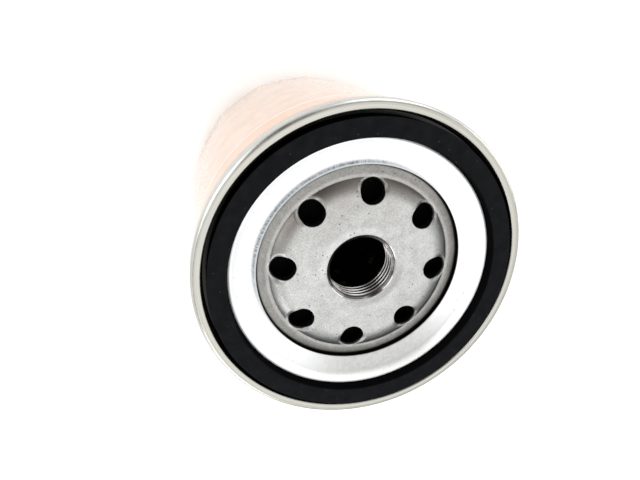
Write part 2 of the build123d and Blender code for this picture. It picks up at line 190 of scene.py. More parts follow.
# ------------------------------------------------------------------- materials
class Mat:
    """A material built from nodes. Positions are in millimetres from the row's origin."""

    def __init__(self, name, **shader):
        self.m = bpy.data.materials.new(name)
        self.m.use_nodes = True
        self.nt = self.m.node_tree
        self.nt.nodes.clear()
        self.out = self.nt.nodes.new("ShaderNodeOutputMaterial")
        self.p = self.nt.nodes.new("ShaderNodeBsdfPrincipled")
        self.nt.links.new(self.p.outputs[0], self.out.inputs[0])
        for k, v in shader.items():
            self.set(k, v)
        tc = self.nt.nodes.new("ShaderNodeTexCoord")
        self.pos = self.vec("SCALE", tc.outputs["Object"], scale=1000.0)
        sep = self.nt.nodes.new("ShaderNodeSeparateXYZ")
        self.nt.links.new(self.pos, sep.inputs[0])
        self.x, self.y, self.z = sep.outputs
        flat = self.vec("MULTIPLY", self.pos, (1, 1, 0))
        self.r = self.vec("LENGTH", flat)
        self.round = self.vec("NORMALIZE", flat)

    def set(self, key, value):
        socket = self.p.inputs[key.replace("_", " ")] if key.replace("_", " ") in self.p.inputs else self.p.inputs[key]
        if isinstance(value, bpy.types.NodeSocket):
            self.nt.links.new(value, socket)
        elif isinstance(value, (tuple, list)) and len(value) == 3 and socket.type == "RGBA":
            socket.default_value = (*value, 1)
        else:
            socket.default_value = value

    def plug(self, value, socket):
        if isinstance(value, bpy.types.NodeSocket):
            self.nt.links.new(value, socket)
        elif isinstance(value, (tuple, list)) and len(value) == 3 and socket.type == "RGBA":
            socket.default_value = (*value, 1)
        else:
            socket.default_value = value

    def vec(self, op, a, b=None, scale=None):
        n = self.nt.nodes.new("ShaderNodeVectorMath")
        n.operation = op
        self.plug(a, n.inputs[0])
        if b is not None:
            self.plug(b, n.inputs[1])
        if scale is not None:
            self.plug(scale, n.inputs["Scale"])
        return n.outputs["Value"] if op in ("LENGTH", "DOT_PRODUCT", "DISTANCE") else n.outputs["Vector"]

    def math(self, op, a, b=0.0, c=None, clamp=False):
        n = self.nt.nodes.new("ShaderNodeMath")
        n.operation = op
        n.use_clamp = clamp
        self.plug(a, n.inputs[0])
        self.plug(b, n.inputs[1])
        if c is not None:
            self.plug(c, n.inputs[2])
        return n.outputs[0]

    def step(self, value, a, b, lo=0.0, hi=1.0):
        n = self.nt.nodes.new("ShaderNodeMapRange")
        n.interpolation_type = "SMOOTHSTEP"
        self.plug(value, n.inputs["Value"])
        self.plug(a, n.inputs["From Min"])
        self.plug(b, n.inputs["From Max"])
        self.plug(lo, n.inputs["To Min"])
        self.plug(hi, n.inputs["To Max"])
        return n.outputs[0]

    def band(self, value, a, b, soft):
        """1 between a and b, falling to 0 over soft on each side."""
        return self.math(
            "MULTIPLY", self.step(value, a - soft, a + soft), self.step(value, b - soft, b + soft, 1.0, 0.0)
        )

    def noise(self, scale, detail=2.0, rough=0.5, at=None, distort=0.0):
        """Noise of about 0 to 1, with features about 1 / scale mm across."""
        n = self.nt.nodes.new("ShaderNodeTexNoise")
        self.plug(at or self.pos, n.inputs["Vector"])
        n.inputs["Scale"].default_value = scale
        n.inputs["Detail"].default_value = detail
        n.inputs["Roughness"].default_value = rough
        n.inputs["Distortion"].default_value = distort
        return n.outputs[0]

    def specks(self, scale, size, at=None, seed=0.0):
        """1 in small scattered dots, 0 elsewhere."""
        n = self.nt.nodes.new("ShaderNodeTexVoronoi")
        n.feature = "F1"
        v = self.vec("ADD", at or self.pos, (seed, seed * 1.7, seed * 0.3))
        self.plug(v, n.inputs["Vector"])
        n.inputs["Scale"].default_value = scale
        n.inputs["Randomness"].default_value = 1.0
        return self.step(n.outputs["Distance"], size, size * 0.5)

    def mix(self, fac, a, b):
        n = self.nt.nodes.new("ShaderNodeMix")
        n.data_type = "RGBA"
        n.clamp_factor = True
        self.plug(fac, n.inputs[0])
        self.plug(a, n.inputs[6])
        self.plug(b, n.inputs[7])
        return n.outputs[2]

    def join(self, x, y, z):
        n = self.nt.nodes.new("ShaderNodeCombineXYZ")
        for i, v in enumerate((x, y, z)):
            self.plug(v, n.inputs[i])
        return n.outputs[0]

    def bump(self, height, strength, distance, normal=None):
        n = self.nt.nodes.new("ShaderNodeBump")
        n.inputs["Strength"].default_value = strength
        n.inputs["Distance"].default_value = distance
        self.plug(height, n.inputs["Height"])
        if normal is not None:
            self.plug(normal, n.inputs["Normal"])
        return n.outputs[0]

    def around(self, along, across=0.0, lift=0.0):
        """Texture position for marks: along stretches round the axis, across is per mm of radius, lift per mm of height."""
        ring = self.vec("SCALE", self.round, scale=along)
        third = self.math(
            "ADD", self.math("MULTIPLY", self.r, across), self.math("MULTIPLY", self.z, lift)
        )
        return self.vec("ADD", ring, self.join(0.0, 0.0, third))


def can_paint():
    m = Mat("can_paint", Roughness=0.36, Coat_Weight=1.0, Coat_Roughness=0.10, Coat_IOR=1.8, IOR=1.5)
    orange, warm, cream = (0.42, 0.234, 0.132), (0.47, 0.205, 0.072), (0.52, 0.40, 0.30)
    tone = m.mix(m.step(m.z, 78.6, 79.4), orange, warm)
    # painted light: the paint is made paler towards the base, to lift the wall where less light falls on it
    tone = m.mix(m.step(m.z, 52.0, 4.0, 0.0, 0.70), tone, (0.56, 0.40, 0.30))
    tone = m.mix(m.band(m.z, 66.6, 68.4, 0.45), tone, m.mix(0.30, tone, cream))
    drift = m.noise(0.045, 3.0, 0.55)
    tone = m.mix(m.step(drift, 0.35, 0.7, 0.0, 0.30), tone, (0.42, 0.20, 0.10))
    cloud = m.noise(0.35, 4.0, 0.6)
    tone = m.mix(m.step(cloud, 0.35, 0.7, 0.0, 0.16), tone, (0.52, 0.34, 0.24))
    edge = m.math("MULTIPLY", m.math("SUBTRACT", m.noise(1.2, 2.0), 0.5), 0.16)
    line = m.band(m.math("ADD", m.z, edge), 77.75, 79.05, 0.12)
    tone = m.mix(m.math("MULTIPLY", line, m.step(m.noise(0.6, 3.0), 0.25, 0.6, 0.70, 0.95)), tone, cream)
    # handling marks: fine scratches round the can and a few dust specks
    scratch = m.noise(1.0, 3.0, 0.7, at=m.around(1.5, 0.0, 7.0))
    tone = m.mix(m.step(scratch, 0.66, 0.74, 0.0, 0.35), tone, (0.64, 0.52, 0.44))
    dust = m.specks(0.35, 0.10)
    tone = m.mix(m.math("MULTIPLY", dust, 0.30), tone, (0.66, 0.60, 0.55))
    m.set("Base_Color", tone)
    m.set("Roughness", m.step(m.noise(0.12, 4.0, 0.6), 0.3, 0.75, 0.30, 0.44))
    m.set("Coat_Roughness", m.step(cloud, 0.3, 0.75, 0.07, 0.16))
    peel = m.noise(0.75, 2.0, 0.5)
    height = m.math("ADD", peel, m.math("MULTIPLY", scratch, 0.10))
    m.set("Normal", m.bump(height, 0.10, 0.0008))
    m.set("Coat_Normal", m.bump(peel, 0.06, 0.0008))
    return m.m


def zinc():
    m = Mat("zinc_plate", Metallic=1.0, Roughness=0.26)
    flat = m.step(m.r, 44.0, 41.0)
    drift = m.noise(0.16, 4.0, 0.6)
    rim = m.mix(m.step(m.r, 46.2, 47.2), (0.405, 0.395, 0.355), (0.47, 0.475, 0.455))
    wear_and_sheen = m.math("MULTIPLY", m.band(m.r, 46.72, 46.98, 0.10), m.step(m.noise(0.25, 3.0), 0.3, 0.6, 0.3, 0.9))
    rim = m.mix(wear_and_sheen, rim, (0.20, 0.195, 0.17))
    lines = m.noise(1.0, 2.0, 0.6, at=m.around(0.5, 6.0, 0.0))
    rim = m.mix(m.step(lines, 0.44, 0.60, 0.0, 0.40), rim, (0.24, 0.235, 0.205))
    # painted shade: the seam's outer rounding is painted near black on one side, as shade from below
    under = m.math("MULTIPLY", m.step(m.r, 46.85, 47.25), m.step(m.vec("DOT_PRODUCT", m.round, (0.67, 0.74, 0.0)), 0.78, 0.97))
    rim = m.mix(m.math("MULTIPLY", under, 0.9), rim, (0.07, 0.07, 0.065))
    tone = m.mix(flat, rim, (0.655, 0.66, 0.665))
    tone = m.mix(m.math("MULTIPLY", m.step(drift, 0.35, 0.75, 0.0, 0.5), m.math("SUBTRACT", 1.0, flat)), tone, (0.38, 0.38, 0.36))
    # painted highlight: the bead beside the gasket is painted pale and less metallic, and wider on the near side, as
    # the bright sky it mirrors
    near_side = m.step(m.math("DIVIDE", m.y, m.r), 0.15, -0.35)
    bead = m.math("MAXIMUM", m.step(m.r, 35.2, 36.9), m.math("MULTIPLY", m.step(m.r, 33.2, 35.2), near_side))
    bead = m.math("MULTIPLY", bead, flat)
    tone = m.mix(bead, tone, (0.80, 0.805, 0.81))
    m.set("Metallic", m.math("SUBTRACT", 1.0, m.math("ADD", m.math("MULTIPLY", flat, 0.45), m.math("MULTIPLY", bead, 0.33))))
    # drawn lip at the opening: short streaks across the edge, given a dark blue-grey tone on the
    # near side only as painted reflection of the curled lip; a painted grey reflection lies on the other side
    side = m.math("DIVIDE", m.y, m.r)
    streak = m.noise(1.0, 3.0, 0.62, at=m.around(150.0, 0.5))
    facing = m.step(side, 0.10, -0.95)
    reach = m.math("MULTIPLY", facing, 1.55)
    frayed = m.math("MULTIPLY", m.math("SUBTRACT", streak, 0.5), 1.5)
    inside = m.math("ADD", m.math("SUBTRACT", m.r, m.math("ADD", reach, 30.25)), frayed)
    lip = m.math("MULTIPLY", m.step(inside, 0.45, -0.45), facing)
    tone = m.mix(
        m.math("MULTIPLY", lip, m.step(streak, 0.34, 0.64, 0.42, 0.98)), tone, (0.085, 0.105, 0.122)
    )
    fleck = m.math("MULTIPLY", m.step(m.noise(1.0, 4.0, 0.7, at=m.around(62.0, 1.1)), 0.52, 0.66), lip)
    tone = m.mix(m.math("MULTIPLY", fleck, 0.75), tone, (0.05, 0.06, 0.066))
    # painted highlight along the near side of the opening's edge
    shine = m.math("MULTIPLY", m.band(m.r, 30.72, 30.92, 0.06), facing)
    tone = m.mix(m.math("MULTIPLY", shine, 0.35), tone, (0.60, 0.62, 0.63))
    cut = m.math("MULTIPLY", m.step(m.r, 31.0, 30.8), m.step(m.z, 91.30, 91.16))
    painted_edge_highlight = m.math("MULTIPLY", m.step(m.r, 30.78, 30.62), m.step(side, 0.15, -0.25))
    # painted reflection: a mottled darker grey band on the far side of the lid's annulus
    painted_far_reflection = m.math("MULTIPLY", m.step(m.r, 36.9, 34.9), m.step(m.vec("DOT_PRODUCT", m.round, (0.454, 0.891, 0.0)), 0.64, 1.0))
    far_reflection_mottle = m.noise(0.9, 3.0, 0.65)
    tone = m.mix(
        m.math("MULTIPLY", painted_far_reflection, m.step(far_reflection_mottle, 0.30, 0.70, 0.75, 0.98)), tone, (0.36, 0.358, 0.345)
    )
    # worn specks beside the gasket
    near = m.band(m.r, 33.6, 36.6, 0.9)
    marks = m.math("MULTIPLY", m.specks(0.55, 0.13, seed=3.1), near)
    tone = m.mix(m.math("MULTIPLY", marks, 0.6), tone, (0.24, 0.24, 0.235))
    # painted shade: the narrow channel outside the gasket is painted near black
    deep = m.math("MULTIPLY", m.step(m.r, 43.0, 43.3), m.math("MULTIPLY", m.step(m.r, 45.2, 45.0), m.step(m.z, 95.75, 95.1)))
    tone = m.mix(m.math("MULTIPLY", deep, 0.97), tone, (0.012, 0.013, 0.012))
    # painted shade at the bottom of the seam and under its edge
    low = m.math("MULTIPLY", m.step(m.z, 92.6, 91.4), m.step(m.r, 46.9, 47.3))
    tone = m.mix(m.math("MULTIPLY", low, 0.55), tone, (0.20, 0.19, 0.17))
    # the sheared edge of the opening is dull bare steel, painted near black as painted shade in the gap under it
    tone = m.mix(m.math("MULTIPLY", cut, 0.92), tone, (0.035, 0.034, 0.033))
    # painted highlight: on the near side the opening's edge is painted bright
    tone = m.mix(m.math("MULTIPLY", painted_edge_highlight, 0.95), tone, (0.50, 0.52, 0.53))
    m.set("Base_Color", tone)
    grain = m.noise(1.0, 3.0, 0.6, at=m.around(7.0, 1.6, 3.2))
    rough = m.math("ADD", m.step(grain, 0.3, 0.7, 0.22, 0.30), m.math("MULTIPLY", lip, 0.06))
    rough = m.math("ADD", rough, m.math("MULTIPLY", flat, 0.12))
    m.set("Roughness", rough)
    fine = m.noise(2.4, 3.0, 0.6)
    height = m.math("ADD", m.math("MULTIPLY", grain, 0.25), m.math("MULTIPLY", fine, 0.35))
    height = m.math("ADD", height, m.math("MULTIPLY", m.math("MULTIPLY", streak, lip), 1.6))
    m.set("Normal", m.bump(height, 0.10, 0.0003))
    return m.m


def plate_steel():
    m = Mat("plate_steel", Metallic=0.96, Roughness=0.34)
    light, dark, warm = (0.445, 0.449, 0.437), (0.25, 0.245, 0.232), (0.30, 0.265, 0.243)
    cloud = m.noise(0.32, 4.0, 0.62)
    grain = m.noise(2.0, 3.0, 0.75)
    fine = m.noise(4.2, 2.0, 0.6)
    mottle = m.math("ADD", m.math("MULTIPLY", cloud, 0.22), m.math("ADD", m.math("MULTIPLY", grain, 0.38), m.math("MULTIPLY", fine, 0.40)))
    # distance from the nearest inlet's axis, and how far outward of it
    turn = m.math("ADD", m.math("ARCTAN2", m.y, m.x), math.pi / INLETS + 2 * math.pi)
    turn = m.math("SUBTRACT", m.math("MODULO", turn, 2 * math.pi / INLETS), math.pi / INLETS)
    ahead = m.math("SUBTRACT", m.math("MULTIPLY", m.r, m.math("COSINE", turn)), INLET_PCR)
    aside = m.math("MULTIPLY", m.r, m.math("SINE", turn))
    hole = m.math("SQRT", m.math("ADD", m.math("MULTIPLY", ahead, ahead), m.math("MULTIPLY", aside, aside)))
    outward = m.math("DIVIDE", ahead, hole)
    centre = m.step(m.r, 26.9, 26.2)
    tone = m.mix(m.step(mottle, 0.38, 0.62, 0.80, 0.0), light, dark)
    ring = m.mix(m.step(mottle, 0.38, 0.62, 0.95, 0.10), (0.255, 0.25, 0.236), (0.145, 0.14, 0.13))
    inner = m.mix(m.step(mottle, 0.35, 0.62, 0.9, 0.0), (0.335, 0.33, 0.316), (0.22, 0.215, 0.202))
    ring = m.mix(m.band(m.r, 26.7, 27.6, 0.35), ring, inner)
    # painted shade: on the far side the ring is painted near black towards the lid's edge, as the shade in the gap
    # under it
    corner = m.math("MULTIPLY", m.step(m.r, 27.7, 30.0), m.step(m.math("DIVIDE", m.y, m.r), -0.25, 0.45))
    ring = m.mix(m.math("MULTIPLY", corner, 0.85), ring, (0.030, 0.029, 0.027))
    tone = m.mix(centre, ring, tone)
    # painted shade: the drawn slope down to the ring is painted darker, most on the side away from the light; a thin
    # darker line runs along its foot
    slope = m.math("MULTIPLY", m.step(m.r, 21.6, 26.0), m.step(m.r, 26.75, 26.55))
    side = m.math("DIVIDE", m.y, m.r)
    shade = m.vec("DOT_PRODUCT", m.round, (-0.38, -0.925, 0.0))
    left = m.step(m.vec("DOT_PRODUCT", m.round, (0.707, -0.707, 0.0)), 0.6, 1.0, 0.0, 0.22)
    painted_slope_shade = m.mix(m.step(shade, 0.25, 0.80), (0.085, 0.096, 0.100), (0.030, 0.021, 0.018))
    weight = m.math("SUBTRACT", m.step(shade, 0.30, 0.90, 0.68, 0.97), left)
    tone = m.mix(m.math("MULTIPLY", slope, weight), tone, painted_slope_shade)
    # painted shade: the centre darkens towards the side away from the light
    lee = m.step(m.math("MULTIPLY", shade, m.r), 6.0, 24.0, 0.0, 0.42)
    tone = m.mix(m.math("MULTIPLY", lee, centre), tone, (0.215, 0.200, 0.185))
    # painted shade on the far side of the mouth and painted highlight on its near side
    mouth_ring = m.band(m.r, 10.6, 12.6, 0.7)
    tone = m.mix(m.math("MULTIPLY", mouth_ring, m.step(side, 0.25, 0.95, 0.0, 0.50)), tone, (0.20, 0.195, 0.185))
    tone = m.mix(m.math("MULTIPLY", mouth_ring, m.step(side, -0.10, -0.80, 0.0, 0.30)), tone, (0.56, 0.565, 0.56))
    foot = m.math("MULTIPLY", m.band(m.r, 26.38, 26.66, 0.10), m.step(m.noise(0.5, 2.0), 0.30, 0.55, 0.45, 1.0))
    tone = m.mix(m.math("MULTIPLY", foot, 0.75), tone, (0.10, 0.09, 0.08))
    # metal dragged by the punch shows bright on the outer side of each inlet
    drag = m.noise(1.7, 3.0, 0.7, at=m.join(m.math("MULTIPLY", outward, 3.0), m.math("MULTIPLY", hole, 1.2), m.x))
    smear = m.math("MULTIPLY", m.band(hole, 3.95, 4.55, 0.35), m.step(outward, 0.15, 0.75))
    smear = m.math("MULTIPLY", smear, m.step(drag, 0.38, 0.60))
    tone = m.mix(m.math("MULTIPLY", smear, 0.50), tone, (0.60, 0.595, 0.58))
    stain = m.step(m.noise(0.13, 3.0, 0.6, distort=0.4), 0.50, 0.72)
    tone = m.mix(m.math("MULTIPLY", stain, 0.16), tone, warm)
    pits = m.specks(0.62, 0.17, seed=1.3)
    sparse = m.step(m.noise(0.22, 2.0), 0.46, 0.58)
    tone = m.mix(m.math("MULTIPLY", m.math("MULTIPLY", pits, sparse), 0.8), tone, (0.05, 0.048, 0.045))
    bright = m.specks(0.8, 0.13, seed=7.7)
    level = m.math("MULTIPLY", m.math("SUBTRACT", 1.0, slope), m.step(m.r, 26.2, 25.6))
    tone = m.mix(m.math("MULTIPLY", m.math("MULTIPLY", bright, level), 0.40), tone, (0.66, 0.66, 0.65))
    # painted shade: the sheared walls of the inlets, and the outer rounding into them, are painted near black
    lipped = m.math("ADD", m.math("MULTIPLY", m.step(outward, 0.1, 0.8), 0.42), 3.56)
    shear = m.math("MULTIPLY", m.step(m.math("SUBTRACT", hole, lipped), 0.10, -0.10), m.step(m.r, 14.0, 18.0))
    tone = m.mix(m.math("MULTIPLY", shear, 0.95), tone, (0.020, 0.019, 0.018))
    # the collar's cut bore is bare and oiled, with a painted highlight on its crests on one side and painted shade in
    # its groove roots
    bore = m.math("MULTIPLY", m.step(m.r, 10.42, 10.34), 1.0)
    cut = m.mix(m.step(m.noise(0.4, 2.0), 0.50, 0.68), (0.36, 0.355, 0.35), (0.24, 0.19, 0.17))
    wear_and_sheen = m.step(m.vec("DOT_PRODUCT", m.round, (0.60, 0.80, 0.0)), 0.90, 1.0)
    cut = m.mix(m.math("MULTIPLY", wear_and_sheen, 0.8), cut, (0.66, 0.655, 0.65))
    cut = m.mix(m.step(m.r, 9.30, 9.62), cut, (0.045, 0.040, 0.038))
    # the mouth's chamfer is duller, with a painted highlight line at its outer edge
    mouth = m.step(m.z, 90.50, 90.72)
    cut = m.mix(mouth, cut, m.mix(m.step(m.noise(0.3, 2.0), 0.40, 0.66), (0.10, 0.097, 0.093), (0.26, 0.25, 0.245)))
    cut = m.mix(m.band(m.r, 10.16, 10.32, 0.05), cut, (0.40, 0.395, 0.385))
    tone = m.mix(bore, tone, cut)
    # painted shade: darker towards the bottom of the bore
    tone = m.mix(m.step(m.z, 86.4, 84.9, 0.0, 0.80), tone, (0.03, 0.028, 0.026))
    m.set("Base_Color", tone)
    rough = m.step(mottle, 0.3, 0.7, 0.38, 0.26)
    m.set("Roughness", m.math("SUBTRACT", rough, m.math("MULTIPLY", bore, 0.17)))
    skin = m.noise(1.5, 4.0, 0.65)
    height = m.math("ADD", m.math("MULTIPLY", skin, 0.35), m.math("MULTIPLY", m.math("ADD", grain, fine), 0.5))
    height = m.math("SUBTRACT", height, m.math("MULTIPLY", pits, 0.8))
    height = m.math("ADD", height, m.math("MULTIPLY", smear, 0.9))
    height = m.math("MULTIPLY", height, m.math("SUBTRACT", 1.0, bore))
    m.set("Normal", m.bump(height, 0.20, 0.0003))
    return m.m


def rubber(name, colour=(0.016, 0.016, 0.017), rough=0.62, lines=True):
    m = Mat(name, Roughness=rough, IOR=1.45)
    m.set("Specular IOR Level", 0.03)
    drift = m.noise(0.3, 3.0, 0.6)
    tone = m.mix(m.step(drift, 0.3, 0.75), colour, tuple(c * 1.55 for c in colour))
    lint = m.specks(0.42, 0.075, seed=5.5)
    tone = m.mix(m.math("MULTIPLY", lint, 0.35), tone, (0.12, 0.115, 0.11))
    if lines:
        # painted shade: the gasket's inner wall and its outer top corner are painted darker, with less specular
        wall = m.math("MULTIPLY", m.step(m.r, 38.95, 38.45), m.step(m.z, 97.07, 96.7))
        tone = m.mix(m.math("MULTIPLY", wall, 0.75), tone, (0.0011, 0.0012, 0.0013))
        edge = m.math("MULTIPLY", m.step(m.r, 43.05, 43.3), m.step(m.z, 97.05, 96.9))
        wall = m.math("MAXIMUM", wall, edge)
        tone = m.mix(edge, tone, (0.0004, 0.0004, 0.0004))
        m.set("Specular IOR Level", m.math("SUBTRACT", 0.03, m.math("MULTIPLY", wall, 0.028)))
    m.set("Base_Color", tone)
    m.set("Roughness", m.step(m.noise(0.8, 4.0, 0.6), 0.3, 0.75, rough - 0.08, rough + 0.12))
    height = m.noise(2.6, 3.0, 0.6)
    if lines:
        height = m.math("ADD", height, m.math("MULTIPLY", m.noise(1.0, 2.0, 0.5, at=m.around(2.0, 2.6, 2.6)), 0.9))
    m.set("Normal", m.bump(height, 0.16, 0.0003))
    return m.m


def plain_steel(name, colour, rough, rings=True, tint=None):
    m = Mat(name, Metallic=1.0, Roughness=rough)
    drift = m.noise(0.25, 4.0, 0.6)
    tone = m.mix(m.step(drift, 0.3, 0.72), colour, tint or tuple(c * 0.78 for c in colour))
    m.set("Base_Color", tone)
    grain = m.noise(1.0, 3.0, 0.6, at=m.around(4.0, 2.8, 2.8)) if rings else m.noise(1.8, 3.0, 0.6)
    m.set("Roughness", m.step(grain, 0.3, 0.7, rough - 0.06, rough + 0.10))
    m.set("Normal", m.bump(grain, 0.15, 0.0003))
    return m.m


def filter_paper():
    m = Mat("filter_paper", Roughness=0.9)
    m.set("Specular IOR Level", 0.2)
    fibre = m.noise(1.6, 5.0, 0.7, distort=0.8)
    tone = m.mix(m.step(fibre, 0.3, 0.7), (0.86, 0.70, 0.42), (0.74, 0.56, 0.30))
    # painted shade: the paper darkens towards the inside of the element
    tone = m.mix(m.step(m.r, 24.0, 18.0, 0.0, 0.93), tone, (0.035, 0.024, 0.012))
    m.set("Base_Color", tone)
    ribs = m.math("SINE", m.math("MULTIPLY", m.z, 2.0))
    m.set("Normal", m.bump(m.math("ADD", fibre, m.math("MULTIPLY", ribs, 0.15)), 0.4, 0.0004))
    return m.m


def cap_adhesive():
    m = Mat("cap_adhesive", Roughness=0.45)
    drift = m.noise(0.5, 4.0, 0.6)
    m.set("Base_Color", m.mix(m.step(drift, 0.3, 0.7), (0.62, 0.22, 0.10), (0.50, 0.16, 0.07)))
    m.set("Normal", m.bump(m.noise(0.7, 2.0), 0.3, 0.0006))
    return m.m


def compound():
    m = Mat("seam_compound", Roughness=0.6)
    m.set("Base_Color", m.mix(m.step(m.noise(0.8, 3.0), 0.3, 0.7), (0.55, 0.52, 0.45), (0.44, 0.41, 0.35)))
    m.set("Normal", m.bump(m.noise(1.5, 2.0), 0.3, 0.0003))
    return m.m


M_CAN, M_ZINC, M_PLATE = can_paint(), zinc(), plate_steel()
M_GASKET = rubber("gasket_rubber", (0.0044, 0.0046, 0.0052), 0.6)
M_VALVE = rubber("valve_rubber", (0.0022, 0.0021, 0.0021), 0.55, lines=False)
M_TIN = plain_steel("tinplate", (0.36, 0.355, 0.34), 0.42)
M_TUBE = plain_steel("tube_steel", (0.022, 0.021, 0.020), 0.5)
M_VSTEEL = plain_steel("valve_steel", (0.20, 0.195, 0.19), 0.45)
M_SPRING = plain_steel("spring_steel", (0.30, 0.30, 0.31), 0.35, rings=False)
M_PAPER, M_GLUE, M_SEAL = filter_paper(), cap_adhesive(), compound()

FINISH = {
    "seam_sealant": M_SEAL,
    "upper_end_cap": M_TIN,
    "lower_end_cap": M_TIN,
    "upper_adhesive": M_GLUE,
    "lower_adhesive": M_GLUE,
    "pleated_media": M_PAPER,
    "media_seam_clip": M_TIN,
    "centre_tube": M_TUBE,
    "bypass_seat": M_VSTEEL,
    "bypass_seal": M_VALVE,
    "bypass_poppet": M_VSTEEL,
    "bypass_cage": M_VSTEEL,
    "drainback_collar": M_VALVE,
    "drainback_lip": M_VALVE,
    "drainback_web": M_VALVE,
    "can": M_CAN,
    "seaming_lid": M_ZINC,
    "base_plate": M_PLATE,
    "gasket": M_GASKET,
    "bypass_spring": M_SPRING,
    "support_spring": M_SPRING,
}
for node, material in FINISH.items():
    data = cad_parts[node].data
    data.materials.clear()
    data.materials.append(material)

# ------------------------------------------------------------------------- can
mid = path(
    [
        (0.0, 2.79), (13.05, 2.79), (17.55, 0.19), (CAN_R - 0.19, 0.19), (CAN_R - 0.19, 88.6),
        (45.79, 90.7), (45.79, 95.2), (46.87, 95.2), (46.87, 92.3),
    ],
    [2.19, 2.19, 6.81, 1.6, 1.6, 0.535, 0.535],
    step=9.0,
    run=3.2,
)
# more rows where the flats start and run out
extra = np.array([(CAN_R - 0.19, z) for z in np.arange(7.6, 28.0, 0.8)])
low = mid[(mid[:, 1] < 7.1) & (mid[:, 0] > 0)]
knee = np.where((mid[:, 0] > CAN_R - 0.2) & (mid[:, 1] > 6.9))[0][0]
rest = mid[knee + 1:][mid[knee + 1:, 1] > 28.4]
mid = np.vstack([mid[: knee + 1], extra, rest])
outer, inner = both_sides(mid, CAN_T)
outer, inner = (outer, inner) if outer[5, 1] < inner[5, 1] else (inner, outer)
outer[0, 0] = inner[0, 0] = 0.02
COLS = 720


def with_flats(profile, inset):
    theta, r, z = lathe_grid(profile, COLS, FLAT_PHASE)
    phi = (theta - math.radians(FLAT_PHASE) + math.pi / FLATS) % (2 * math.pi / FLATS) - math.pi / FLATS
    apothem = FLAT_APOTHEM - inset + (CAN_R + 0.55 - FLAT_APOTHEM) * smooth(20.5, 27.0, z)
    limit = apothem / np.cos(phi)[None, :]
    side = (z < 30) & (r > 30)
    r = np.where(side, soft_min(r, limit, 0.12), r)
    wall = smooth(20, 40, z) * smooth(88, 80, z)
    r = r + wall * (ripple(theta, (2, 3, 5), 0.018, 3)[None, :] + ripple(theta, (9, 14, 23), 0.004, 5)[None, :])
    return theta, r, z


t1, r1, z1 = with_flats(outer, 0.0)
t2, r2, z2 = with_flats(inner[::-1], CAN_T)
verts = np.vstack([xyz(t1, r1, z1), xyz(t2, r2, z2)])
rows = len(outer) + len(inner)
faces = grid_faces(rows, COLS, closed=True)
can = new_mesh("can_shell", verts, faces, M_CAN, "housing", ["can"])

# ---------------------------------------------------------------- seaming lid
mid = path(
    [
        (30.58, 91.05), (32.5, 91.35), (35.8, 91.95), (37.95, 94.45), (37.95, 91.9), (45.05, 91.9),
        (45.05, 95.8), (47.41, 95.8), (47.41, 91.45), (46.33, 91.45), (46.33, 94.3),
    ],
    [6.0, 2.2, 0.4, 0.6, 0.6, 0.5, 1.1, 0.535, 0.535],
    step=9.0,
    run=0.9,
)
outer, inner = both_sides(mid, LID_T)
# rounded ends on the cut edges
def capped(a, b):
    c, u = (a + b) / 2, (a - b) / 2
    w = np.array([u[1], -u[0]])
    return lambda sign: np.array([c + u * math.cos(t) + sign * w * math.sin(t) for t in np.linspace(0, math.pi, 7)[1:-1]])


start_cap = capped(inner[0], outer[0])
end_cap = capped(outer[-1], inner[-1])
d0 = mid[0] - mid[1]
d1 = mid[-1] - mid[-2]
s0 = 1 if (start_cap(1)[2] - mid[0]) @ d0 > 0 else -1
s1 = 1 if (end_cap(1)[2] - mid[-1]) @ d1 > 0 else -1
profile = np.vstack([outer, end_cap(s1), inner[::-1], start_cap(s0)])
theta, r, z = lathe_grid(profile, COLS)
skirt = smooth(47.2, 47.6, r) * smooth(91.0, 92.2, z) * smooth(95.9, 94.5, z)
r = r - skirt * (0.03 + ripple(theta, (3, 7, 11), 0.010, 11)[None, :] + ripple(theta, (40, 57, 71), 0.003, 12)[None, :])
web = smooth(30.4, 31.5, r) * smooth(39.0, 37.0, r)
z = z + web * (ripple(theta, (2, 3, 4, 6), 0.022, 21)[None, :])
lid = new_mesh("lid_ring", xyz(theta, r, z), grid_faces(len(profile), COLS, closed=True), M_ZINC, "housing", ["seaming_lid"])

# ---------------------------------------------------------------------- gasket
corner = path(
    [
        (40.9, 92.2), (38.3, 92.2), (38.3, 97.1), (43.6, 97.1), (43.6, 92.2), (40.9, 92.2),
    ],
    [0.3, 0.38, 0.38, 0.3],
    step=11.0,
    run=0.5,
)[:-1]
theta, r, z = lathe_grid(corner, 540)
r = r + ripple(theta, (2, 3, 5, 8), 0.05, 31)[None, :] * smooth(92.4, 94.0, z)
z = z - (0.03 + ripple(theta, (3, 4, 7), 0.012, 32)[None, :]) * smooth(96.0, 97.0, z)
# a low moulding line on the inner wall
line = np.exp(-(((z - 95.2) / 0.14) ** 2)) * smooth(39.0, 38.5, r)
r = r - 0.06 * line
gasket = new_mesh("gasket_ring", xyz(theta, r, z), grid_faces(len(corner), 540, closed=True), M_GASKET, "housing", ["gasket"])

